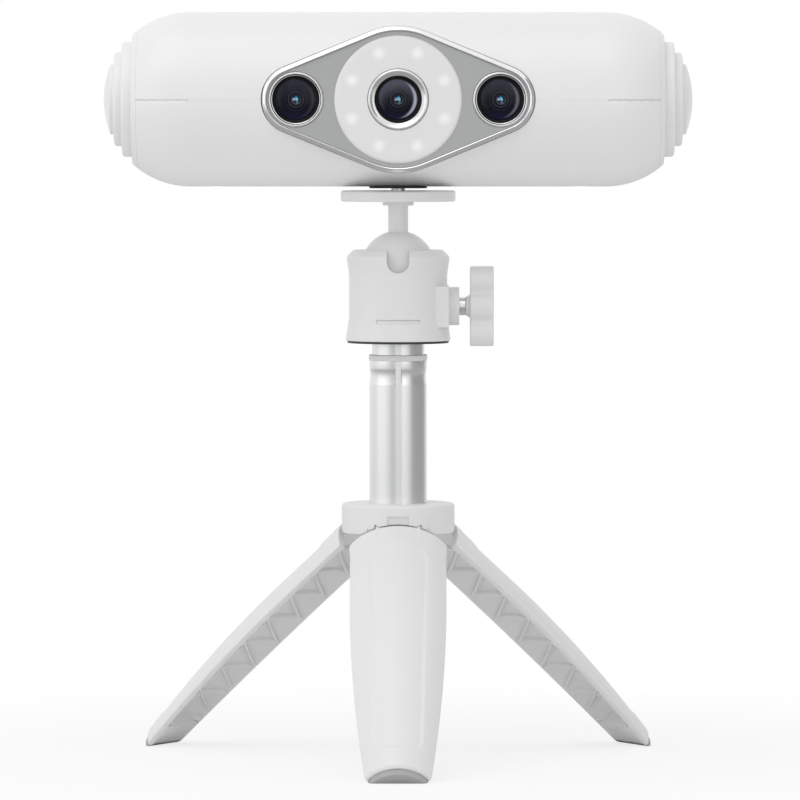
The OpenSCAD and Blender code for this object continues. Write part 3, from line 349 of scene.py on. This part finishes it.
def easedPiece(name, width):
    bm = solidOf(name)
    limit = radians(easeLook["corner"])
    corners = [e for e in bm.edges if len(e.link_faces) == 2 and e.calc_face_angle(0.0) > limit]
    bmesh.ops.bevel(bm, geom=corners, offset=width * 0.001, offset_type="OFFSET", affect="EDGES",
        segments=easeLook["segments"], profile=0.5, clamp_overlap=False, material=-1)
    piece = addPiece(name + "Eased", bm, bodyOf[name], slotOf[name], easeLook["sharp"])
    evenShading(piece)
    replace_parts(piece, name)


def seamPiece(name, up):  # shell whose joint closes to a hairline
    bm = solidOf(name)
    edge = lensAxisZ + up * seam["cadGap"] * 0.0005
    for v in bm.verts:
        if abs(v.co.z - edge) < seam["tolerance"] * 0.001:
            v.co.z = lensAxisZ + up * seam["gap"] * 0.0005
    piece = addPiece(name + "Closed", bm, bodyOf[name], slotOf[name], seam["sharp"])
    evenShading(piece)
    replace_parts(piece, name)


seamPiece("upper_shell", 1)
seamPiece("lower_shell", -1)

edgeWidths = {  # millimetres
    "end_cap_left": 0.15, "end_cap_right": 0.15, "trim_frame": 0.25, "face_plate": 0.1,
    "lens_ring_left": 0.06, "lens_ring_centre": 0.06, "lens_ring_right": 0.06,
    "ball_stem": 0.2, "ball_housing": 0.2, "clamp_knob": 0.4, "base_washer": 0.1, "tube_ring": 0.2,
    "outer_tube": 0.12, "hub": 0.2, "foot_front": 0.2, "foot_left": 0.2, "foot_right": 0.2,
    "scan_button": 0.3, "usb_socket": 0.15, "base_pad": 0.1}
for name, width in edgeWidths.items():
    easedPiece(name, width)
print("eased pieces:", len(edgeWidths))


# legs: a thin skin with a sunk grip panel, crossing ribs inside and a solid toe, in millimetres and degrees

legLook = {"hingeOut": 12.2, "hingeUp": 62.1002, "open": 50.0, "grip": 15.25, "straight": 22.0,
    "length": 89.0, "end": 10.0, "half": 59.0, "wall": 1.85, "top": 4.3, "toe": 79.2, "sole": 87.2,
    "chord": 4.9, "edge": 0.4, "edgeStart": 0.05, "edgeGrowth": 0.15, "endRound": 0.9, "innerInset": 0.5,
    "arc": 72, "inside": 40, "corner": 4, "stations": 170, "endSteps": 5, "sharp": 42, "knuckleSharp": 30}
panelLook = {"start": 9.0, "finish": 80.4, "topHalf": 7.9, "endHalf": 6.2, "soft": 0.7, "depth": 0.45,
    "corner": 3.0}
ribLook = {"first": 21.0, "pitch": 10.0, "row": 3.4, "slope": 0.77, "half": 0.42, "tall": 2.8, "from": 6.2,
    "to": 80.0, "reach": 11.6, "steps": 14, "root": 1.2, "ease": 0.2, "flat": 0.6, "midMargin": 0.6,
    "sideMargin": 1.5, "rows": range(-2, 8)}
toeLook = {"under": 0.4, "margin": 0.02, "arc": 32, "lead": 0.3, "tail": 0.1}  # the margin is in radians
legTurns = {"leg_front": 0.0, "leg_right": 120.0, "leg_left": -120.0}


def legRound(d):  # radius of the closed legs at a distance from the hinge
    run = legLook["length"] - legLook["straight"]
    drop = legLook["grip"] - legLook["end"]
    curve = (run * run + drop * drop) / (2 * drop)
    past = max(0.0, d - legLook["straight"])
    return legLook["grip"] - curve + sqrt(curve * curve - past * past)


def legMatrix(turn):  # from the closed front leg, in millimetres, to an open leg in its place
    pivot = Vector((0, -legLook["hingeOut"], legLook["hingeUp"]))
    swing = Matrix.Rotation(-radians(legLook["open"]), 4, "X")
    opened = Matrix.Translation(pivot) @ swing @ Matrix.Translation(-pivot)
    return Matrix.Scale(0.001, 4) @ Matrix.Rotation(radians(turn), 4, "Z") @ opened


def legPoint(radius, angle, d):
    return Vector((radius * sin(angle), -radius * cos(angle), legLook["hingeUp"] - d))


def smoothStep(low, high, value):
    t = min(1.0, max(0.0, (value - low) / (high - low)))
    return t * t * (3 - 2 * t)


def panelSink(x, d):  # how deep the grip panel lies at a point of the skin
    share = (d - panelLook["start"]) / (panelLook["finish"] - panelLook["start"])
    half = panelLook["topHalf"] + (panelLook["endHalf"] - panelLook["topHalf"]) * share
    corner = panelLook["corner"]
    dx = abs(x) - (half - corner)
    middle = (panelLook["start"] + panelLook["finish"]) / 2
    reach = (panelLook["finish"] - panelLook["start"]) / 2
    dz = abs(d - middle) - (reach - corner)
    away = sqrt(max(dx, 0) ** 2 + max(dz, 0) ** 2) + min(max(dx, dz), 0) - corner
    return panelLook["depth"] * smoothStep(panelLook["soft"] / 2, -panelLook["soft"] / 2, away)


def edgeRound(radius, outward, side, e, d):  # quarter round from the skin towards the leg's edge
    points = []
    for i in range(1, legLook["corner"] + 1):
        b = pi / 2 * i / legLook["corner"]
        angle = radians(legLook["half"]) - e / radius + e * sin(b) / radius
        points.append(legPoint(radius - outward * (e - e * cos(b)), side * angle, d))
    return points


def arcPoints(count, half):
    return [half * (2 * i / count - 1) for i in range(count + 1)]


def legSection(d, inset):  # closed loop round the wall at one distance from the hinge
    out = legRound(d) - inset
    inner = legRound(d) - legLook["wall"] + inset * legLook["innerInset"]
    e = min(legLook["edge"], legLook["edgeStart"] + (d - legLook["top"]) * legLook["edgeGrowth"])
    half = radians(legLook["half"])
    skin = arcPoints(legLook["arc"], half - e / out)
    loop = [legPoint(out - panelSink(out * sin(a), d), a, d) for a in skin]
    loop += edgeRound(out, 1, 1, e, d) + edgeRound(inner, -1, 1, e, d)[::-1]
    loop += [legPoint(inner, -a, d) for a in arcPoints(legLook["inside"], half - e / inner)]
    return loop + edgeRound(inner, -1, -1, e, d) + edgeRound(out, 1, -1, e, d)[::-1]


def loftInto(bm, loops, matrix):  # closed loops joined one after another, with both ends shut
    rings = [[bm.verts.new(matrix @ v) for v in loop] for loop in loops]
    for a, b in zip(rings, rings[1:]):
        for i in range(len(a)):
            j = (i + 1) % len(a)
            bm.faces.new((a[i], a[j], b[j], b[i]))
    bm.faces.new(rings[0])
    bm.faces.new(list(reversed(rings[-1])))


def asinOf(x, radius):
    return asin(max(-1.0, min(1.0, x / radius)))


def ribLoops(side, lean, start):  # one rib on one half of the wall, from the middle to the edge
    loops = []
    root, tall, flat = ribLook["root"], ribLook["tall"], ribLook["flat"]
    low = tall - ribLook["ease"]
    outline = ((-1, root), (-1, low), (-flat, tall), (flat, tall), (1, low), (1, root))
    fall = ribLook["slope"] * lean
    norm = sqrt(1 + fall * fall)
    most = radians(legLook["half"] - ribLook["sideMargin"])
    wide = sin(radians(legLook["half"] - ribLook["midMargin"]))
    for i in range(ribLook["steps"] + 1):
        x = ribLook["reach"] * i / ribLook["steps"]
        d = start + fall * (x - ribLook["row"])
        reach = (legRound(min(d, legLook["length"])) - tall) * wide
        if not ribLook["from"] < d < ribLook["to"] or x > reach:
            continue
        loop = []
        for offset, height in outline:
            px = x - fall / norm * offset * ribLook["half"]
            pd = d + offset * ribLook["half"] / norm
            angle = min(asinOf(px, legRound(pd) - height), most)
            loop.append(legPoint(legRound(pd) - height, side * angle, pd))
        loops.append(loop)
    return loops


def toeLoop(d):
    radius = legRound(d) - toeLook["under"]
    half = radians(legLook["half"]) - toeLook["margin"]
    loop = [legPoint(radius, a, d) for a in arcPoints(toeLook["arc"], half)]
    y = -legLook["chord"]
    reach = legLook["chord"] * sin(half) / cos(half)
    return loop + [Vector((reach, y, legLook["hingeUp"] - d)), Vector((-reach, y, legLook["hingeUp"] - d))]


def addLeg(name, turn):
    matrix = legMatrix(turn)
    bm = bmesh.new()
    top, sole, r = legLook["top"], legLook["sole"], legLook["endRound"]
    count, endSteps = legLook["stations"], legLook["endSteps"]
    stations = [(top + (sole - r - top) * i / count, 0.0) for i in range(count + 1)]
    for i in range(1, endSteps + 1):
        b = pi / 2 * i / endSteps
        stations.append((sole - r + r * sin(b), r * (1 - cos(b))))
    loftInto(bm, [legSection(d, inset) for d, inset in stations], matrix)
    toe = legLook["toe"]
    loftInto(bm, [toeLoop(d) for d in (toe, toe + toeLook["lead"], sole - toeLook["tail"], sole)], matrix)
    for side in (-1, 1):
        for lean in (-1, 1):
            for k in ribLook["rows"]:
                loops = ribLoops(side, lean, ribLook["first"] + ribLook["pitch"] * k)
                if len(loops) > 1:
                    loftInto(bm, loops, matrix)
    bmesh.ops.recalc_face_normals(bm, faces=bm.faces)
    leg = addPiece(name + "Skin", bm, bodyOf[name], slotOf[name], legLook["sharp"])
    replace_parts(leg, name)
    cut = solidOf(name)  # the hinge end keeps the frame's shape
    place = matrix @ Vector((0, -legLook["hingeOut"], legLook["hingeUp"] - top))
    along = (place - matrix @ Vector((0, -legLook["hingeOut"], legLook["hingeUp"]))).normalized()
    bmesh.ops.bisect_plane(cut, geom=cut.verts[:] + cut.edges[:] + cut.faces[:], plane_co=place,
        plane_no=along, clear_outer=True)
    bmesh.ops.holes_fill(cut, edges=[e for e in cut.edges if len(e.link_faces) == 1], sides=0)
    evenShading(addPiece(name + "Knuckle", cut, bodyOf[name], slotOf[name], legLook["knuckleSharp"]))


for name, turn in legTurns.items():
    addLeg(name, turn)
print("legs lofted")


# lenses

lensSides = {side: sum(c[0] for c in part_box("lens_" + side)) / 2 for side in ("left", "centre", "right")}
lensFront = {side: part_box("lens_barrel_" + side)[0][1] for side in lensSides}


spinLook = {"axis": Vector((0, -1, 0)), "side": Vector((1, 0, 0)), "merge": 1e-6}


def spinPiece(name, profile, centre, slot, steps=96, sharp=35):
    bm = bmesh.new()  # the profile is radius and forward distance, in millimetres
    axis, side = spinLook["axis"], spinLook["side"]
    verts = [bm.verts.new(Vector(centre) + side * r * 0.001 + axis * d * 0.001) for r, d in profile]
    edges = [bm.edges.new(pair) for pair in zip(verts, verts[1:])]
    bmesh.ops.spin(bm, geom=verts + edges, cent=centre, axis=axis, angle=2 * pi, steps=steps,
        use_merge=True)
    bmesh.ops.remove_doubles(bm, verts=bm.verts, dist=spinLook["merge"])
    bmesh.ops.recalc_face_normals(bm, faces=bm.faces)
    return addPiece(name, bm, "scanner", slot, sharp)


def domeProfile(curve, edge, back, count=24):  # from the rim of the back face over the dome to its middle
    rise = curve - sqrt(curve * curve - edge * edge)
    radii = [edge * (1 - i / count) for i in range(count + 1)]
    arc = [(r, sqrt(curve ** 2 - r ** 2) - curve) for r in radii]
    return [(0.0, -rise - back), (edge, -rise - back)] + arc


diffuserLook = {"out": 17.2, "hole": 8.13, "round": 1.1, "dome": 0.18, "skirt": 3.55, "ease": 0.15,
    "easeShare": 0.2, "faceSteps": 12, "edgeSteps": 10, "turnSteps": 128, "sharp": 40}
faceLip = {"in": 16.5, "out": 17.8, "front": -0.64, "back": -1.2}  # the face, up to the light ring


def addDiffuser(look):
    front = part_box("light_diffuser")[0][1]
    out, r, lift, hole = look["out"], look["round"], look["dome"], look["hole"]
    start, flat = hole + look["ease"], out - r
    face = [(hole, -look["skirt"]), (hole, -lift - look["ease"]), (start, -lift * look["easeShare"])]
    for i in range(look["faceSteps"] + 1):
        x = start + (flat - start) * i / look["faceSteps"]
        face.append((x, -lift * (x / flat) ** 2))
    edge = []
    for i in range(1, look["edgeSteps"] + 1):
        b = pi / 2 * i / look["edgeSteps"]
        edge.append((flat + r * sin(b), -lift - r * (1 - cos(b))))
    profile = face + edge + [(out, -look["skirt"]), (hole, -look["skirt"])]
    centre = (0, front, lensAxisZ)
    piece = spinPiece("diffuserRing", profile, centre, "diffuser_white", look["turnSteps"], look["sharp"])
    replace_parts(piece, "light_diffuser")
    near, far, top, back = (faceLip[key] for key in ("in", "out", "front", "back"))
    lip = [(near, top), (far, top), (far, back), (near, back), (near, top)]
    spinPiece("faceLip", lip, centre, "face_grey", look["turnSteps"])


addDiffuser(diffuserLook)

coatBase = (0.001, 0.001, 0.0015)
# the lens colour holds its own dark tint, rings and pupil, and painted reflections and glints of the studio
# lamps
coatAndReflectionLayers = {  # each spot is its middle in x and z, then its inner and outer radius
    "bowl": {"inside": (0, 0, 5.2, 5.55), "colour": (0.0035, 0.004, 0.009)},
    # painted reflection: a grey-blue crescent of the sky over the upper lens
    "skyCrescentReflection": {"inside": (-0.3, 0.5, 4.5, 5.1), "outside": (0.5, -2.4, 3.2, 7.6), "share": "Sky Reflection",
        "colour": (0.1, 0.108, 0.145)},
    # painted reflection: a navy glow towards the bottom of the lens
    "low": {"inside": (0, 0, 5.2, 5.55), "below": (-2.0, -5.0), "share": 0.8,
        "colour": (0.008, 0.01, 0.034)},
    # painted reflection: a lavender crescent of a window towards the right
    "windowReflection": {"inside": (0, 0, 4.7, 5.25), "outside": (-1.5, 0.2, 5.3, 6.1), "share": "Window",
        "colour": (0.5, 0.5, 0.64)},
    "ring": {"inside": (0, 0, 2.1, 2.2), "outside": (0, 0, 1.8, 2.0), "share": 0.5,
        "colour": (0.055, 0.06, 0.08)},
    "thinRing": {"inside": (0, 0, 2.95, 3.05), "outside": (0, 0, 2.75, 2.9), "share": 0.25,
        "colour": (0.05, 0.055, 0.075)},
    "pupil": {"inside": (0, 0, 1.5, 1.8), "colour": (0.003, 0.005, 0.012)},
    "pupilRim": {"inside": (0.1, -0.1, 1.25, 1.35), "outside": (0.1, 0.05, 1.0, 1.2), "share": 0.5,
        "colour": (0.1, 0.12, 0.16)},
    # painted highlights: four small glints about the pupil
    "whiteGlint": {"inside": (-0.5, 0.02, 0.22, 0.5), "share": 0.85, "colour": (0.42, 0.44, 0.55)},
    "blueGlint": {"inside": (0.1, 0.28, 0.3, 0.6), "share": 0.95, "colour": (0.07, 0.38, 0.6)},
    "paleGlint": {"inside": (0.32, -0.05, 0.2, 0.45), "share": 0.8, "colour": (0.25, 0.6, 0.75)},
    "lowGlint": {"inside": (0.35, -0.8, 0.2, 0.5), "share": 0.5, "colour": (0.2, 0.25, 0.32)},
}


def buildLensCoatAndReflections():  # colours of a coated lens with painted reflections and glints, seen about its axis, in millimetres from the middle
    group, start, end = newGroup("lensCoatAndReflections",
        [("Vector", "NodeSocketVector", None), ("Sky Reflection", "NodeSocketFloat", 1.0),
         ("Window", "NodeSocketFloat", 1.0)],
        [("Colour", "NodeSocketColor")])
    split = group.nodes.new("ShaderNodeSeparateXYZ")
    group.links.new(start.outputs["Vector"], split.inputs["Vector"])
    x, z = split.outputs["X"], split.outputs["Z"]

    def spot(cx, cz, inner, outer):  # 1 inside the inner radius, 0 past the outer one
        dx = mathNode(group, "SUBTRACT", x, cx)
        dz = mathNode(group, "SUBTRACT", z, cz)
        return smoothRange(group, mathNode(group, "SQRT", squareSum(group, dx, dz)), outer, inner)

    def maskOf(look):
        mask = spot(*look["inside"])
        if "outside" in look:
            mask = mathNode(group, "MULTIPLY", mask, invert(group, spot(*look["outside"])))
        if "below" in look:
            mask = mathNode(group, "MULTIPLY", mask, smoothRange(group, z, *look["below"]))
        share = look.get("share", 1.0)
        if isinstance(share, str):
            share = start.outputs[share]
        return mathNode(group, "MULTIPLY", mask, share)

    colour = None
    for look in coatAndReflectionLayers.values():
        mix = group.nodes.new("ShaderNodeMix")
        mix.data_type = "RGBA"
        mix.inputs["A"].default_value = (*coatBase, 1.0)
        mix.inputs["B"].default_value = (*look["colour"], 1.0)
        group.links.new(maskOf(look), mix.inputs["Factor"])
        if colour is not None:
            group.links.new(colour, mix.inputs["A"])
        colour = mix.outputs["Result"]
    group.links.new(colour, end.inputs["Colour"])
    return group


lensCoatAndReflections = buildLensCoatAndReflections()
lensLook = {"curve": 18.0, "edge": 5.66, "back": 1.0, "lift": 0.15, "rough": 0.05, "specular": 0.12,
    "bezel": [(5.62, -2.6), (5.62, -0.75), (5.74, -0.63), (5.88, -0.59), (6.02, -0.31), (6.1, -0.25),
        (6.26, -0.25), (6.37, -0.36), (6.37, -15.0)],
    "lip": [(7.05, 0.05), (6.36, -0.21), (6.36, -1.6), (7.05, -1.6), (7.05, 0.05)]}
# how strongly the painted sky and window reflections show on each lens
lensReflectionStrengths = {"left": {"skyReflection": 0.2, "windowReflection": 0.05}, "centre": {"skyReflection": 0.75, "windowReflection": 0.85},
    "right": {"skyReflection": 0.3, "windowReflection": 0.25}}


def lensFinish(name, centre, skyReflection, windowReflection):
    material, tree, shader = startFinish(name)
    coat = tree.nodes.new("ShaderNodeGroup")
    coat.node_tree = lensCoatAndReflections
    tree.links.new(millimetresFrom(tree, centre), coat.inputs["Vector"])
    coat.inputs["Sky Reflection"].default_value = skyReflection
    coat.inputs["Window"].default_value = windowReflection
    tree.links.new(coat.outputs["Colour"], shader.inputs["Base Color"])
    shader.inputs["Roughness"].default_value = lensLook["rough"]
    shader.inputs["Specular IOR Level"].default_value = lensLook["specular"]
    return material


def addLens(side, look):
    centre = (lensSides[side], lensFront[side], lensAxisZ)
    spinPiece("ringLip" + side.title(), lensLook["lip"], centre, "ring_metal")
    spinPiece("barrel" + side.title(), lensLook["bezel"], centre, "barrel_black")
    dome = domeProfile(lensLook["curve"], lensLook["edge"], lensLook["back"])
    lifted = [(r, d + lensLook["lift"]) for r, d in dome]
    glass = spinPiece("glass" + side.title(), lifted, centre, "lens_glass")
    glass.data.materials[0] = lensFinish("coatedLensWithReflections" + side.title(), centre, look["skyReflection"], look["windowReflection"])
    return glass


for side, look in lensReflectionStrengths.items():
    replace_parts(addLens(side, look), "lens_" + side, "lens_barrel_" + side)
print("lenses placed")


# studio

studio = {"eye": (0.0005, -1.921, 0.178), "aim": (0.0005, 0.0, 0.0967), "lens": 320.0, "sensor": 36.0,
    "clip": 50.0, "world": 0.71}
lamps = {
    "topSoftbox": {"place": (-0.25, -0.35, 0.95), "aim": (0, 0, 0.12), "size": (0.9, 0.9), "power": 2.6},
    "frontFill": {"place": (0.5, -1.2, 0.35), "aim": (0, 0, 0.1), "size": (0.6, 0.6), "power": 0.55},
    "leftSoftbox": {"place": (-1.15, -0.45, 0.25), "aim": (0, 0, 0.1), "size": (1.1, 1.3), "power": 1.6}}
floorLook = {"half": 6.0, "tone": 0.93, "rough": 0.9, "fade": (0.1, 0.24), "near": 0.72,
    "sheen": (0.4, 1.2), "gloss": 0.42}
flags = {"rightFlag": {"place": (0.85, 0.05, 0.3), "size": (1.5, 1.1), "tone": 0.36},
    "leftStrip": {"place": (-0.42, -1.05, 0.25), "size": (0.26, 1.0), "tone": 0.5}}


def facing(place, aim, axis="-Z"):
    return (Vector(aim) - Vector(place)).to_track_quat(axis, "Y").to_euler()


def addCamera():
    data = bpy.data.cameras.new("photoCamera")
    data.lens = studio["lens"]
    data.sensor_width = studio["sensor"]
    data.clip_end = studio["clip"]
    camera = bpy.data.objects.new("photoCamera", data)
    camera.location = studio["eye"]
    camera.rotation_euler = facing(studio["eye"], studio["aim"])
    bpy.context.scene.collection.objects.link(camera)
    bpy.context.scene.camera = camera


def seenMask(tree):  # 1 for what the eye sees, straight or in metal and glass
    path = tree.nodes.new("ShaderNodeLightPath")
    first = mathNode(tree, "MAXIMUM", path.outputs["Is Camera Ray"], path.outputs["Is Glossy Ray"])
    return mathNode(tree, "MAXIMUM", first, path.outputs["Is Transmission Ray"])


def addWorld():
    world = bpy.data.worlds.new("paleStudio")
    world.use_nodes = True
    bpy.context.scene.world = world
    tree = world.node_tree
    shader = tree.nodes["Background"]
    shader.inputs["Color"].default_value = (1, 1, 1, 1)
    strength = rangeNode(tree, seenMask(tree), 0.0, 1.0, studio["world"], 1.0)
    tree.links.new(strength, shader.inputs["Strength"])


def addLamp(name, look):
    data = bpy.data.lights.new(name, "AREA")
    data.shape = "RECTANGLE"
    data.size, data.size_y = look["size"]
    data.energy = look["power"]
    lamp = bpy.data.objects.new(name, data)
    lamp.location = look["place"]
    lamp.rotation_euler = facing(look["place"], look["aim"])
    bpy.context.scene.collection.objects.link(lamp)


def sheetMesh(name, half):
    bm = bmesh.new()
    bmesh.ops.create_grid(bm, x_segments=1, y_segments=1, size=half)
    mesh = bpy.data.meshes.new(name)
    bm.to_mesh(mesh)
    bm.free()
    return mesh


def addFlag(name, look):  # grey board beside the set, seen only in metal and glass
    mesh = sheetMesh(name, half=0.5)
    material, tree, shader = startFinish(name)
    shader.inputs["Base Color"].default_value = (0, 0, 0, 1)
    shader.inputs["Specular IOR Level"].default_value = 0.0
    shader.inputs["Emission Color"].default_value = (1, 1, 1, 1)
    shader.inputs["Emission Strength"].default_value = look["tone"]
    mesh.materials.append(material)
    flag = bpy.data.objects.new(name, mesh)
    flag.location = look["place"]
    flag.scale = (*look["size"], 1.0)
    flag.rotation_euler = facing(look["place"], (0, 0, look["place"][2]), "Z")
    flag.visible_camera = False
    flag.visible_shadow = False
    flag.visible_diffuse = False
    bpy.context.scene.collection.objects.link(flag)


def addFloor(look):  # pale paper that fades into the white background
    mesh = sheetMesh("studioFloor", look["half"])
    material, tree, shader = startFinish("floorPaper")
    shader.inputs["Base Color"].default_value = (*(look["tone"],) * 3, 1.0)
    shader.inputs["Roughness"].default_value = look["rough"]
    shader.inputs["Specular IOR Level"].default_value = 0.0
    glow = tree.nodes.new("ShaderNodeEmission")
    mix = tree.nodes.new("ShaderNodeMixShader")
    length = tree.nodes.new("ShaderNodeVectorMath")
    length.operation = "LENGTH"
    tree.links.new(objectVector(tree), length.inputs[0])
    away = length.outputs["Value"]
    far = rangeNode(tree, away, *look["fade"], look["near"], 1.0)
    path = tree.nodes.new("ShaderNodeLightPath")
    glossy = path.outputs["Is Glossy Ray"]
    eye = mathNode(tree, "MULTIPLY", far, path.outputs["Is Camera Ray"])
    tree.links.new(mathNode(tree, "MAXIMUM", eye, glossy), mix.inputs["Fac"])
    sheen = rangeNode(tree, away, *look["sheen"], look["gloss"], 1.0)
    tree.links.new(rangeNode(tree, glossy, 0.0, 1.0, 1.0, sheen), glow.inputs["Strength"])
    tree.links.new(shader.outputs["BSDF"], mix.inputs[1])
    tree.links.new(glow.outputs["Emission"], mix.inputs[2])
    tree.links.new(mix.outputs["Shader"], tree.nodes["Material Output"].inputs["Surface"])
    mesh.materials.append(material)
    floor = bpy.data.objects.new("studioFloor", mesh)
    bpy.context.scene.collection.objects.link(floor)


bpy.context.scene.view_settings.view_transform = "Standard"
addCamera()
addWorld()
for name, look in lamps.items():
    addLamp(name, look)
for name, look in flags.items():
    addFlag(name, look)
addFloor(floorLook)
print("studio ready")

print("pieces placed")
